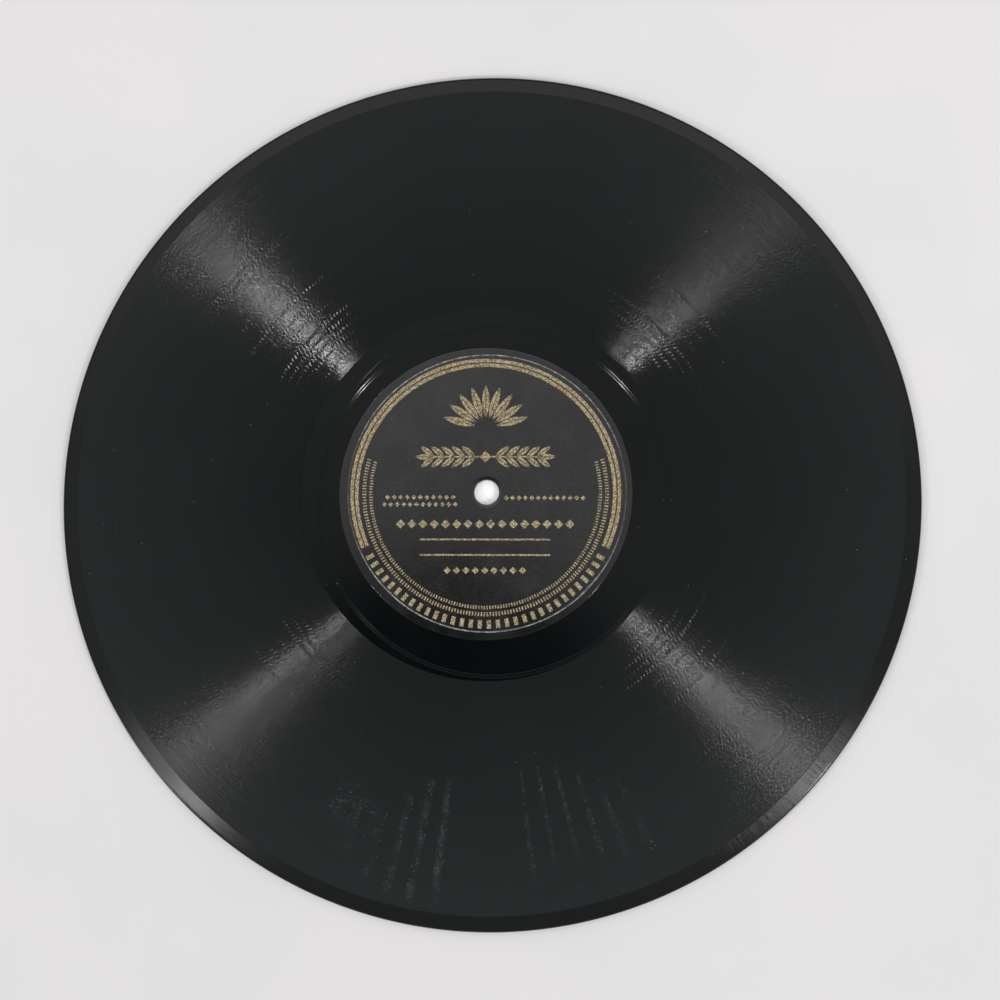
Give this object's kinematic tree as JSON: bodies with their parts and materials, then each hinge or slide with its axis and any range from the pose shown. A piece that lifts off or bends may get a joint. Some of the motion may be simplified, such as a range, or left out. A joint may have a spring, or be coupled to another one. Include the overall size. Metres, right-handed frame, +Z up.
{
  "type": "shellac record",
  "caption": "Ten-inch shellac record: a grooved black disc with a spindle hole, an eccentric stop groove and a black paper label with bronze print on each side.",
  "frame": {"origin": "on the spindle axis, at the underside that the record lies on", "axes": "+Z up along the spindle axis, out of the front side; +Y towards the head of the front label; +X to its right"},
  "size_m": [0.2508, 0.2508, 0.0021],
  "materials": {
    "shellac": "pressed shellac compound, semi-gloss, with fine grooves that draw light into radial streaks",
    "label_paper": "black printed paper, matt, pressed smooth",
    "bronze_ink": "dull bronze printing ink, slightly worn"
  },
  "bodies": {
    "root": {"shellac_disc": "shellac", "front_label": "label_paper", "back_label": "label_paper", "front_label_print": "bronze_ink", "back_label_print": "bronze_ink"}
  },
  "joints": []
}
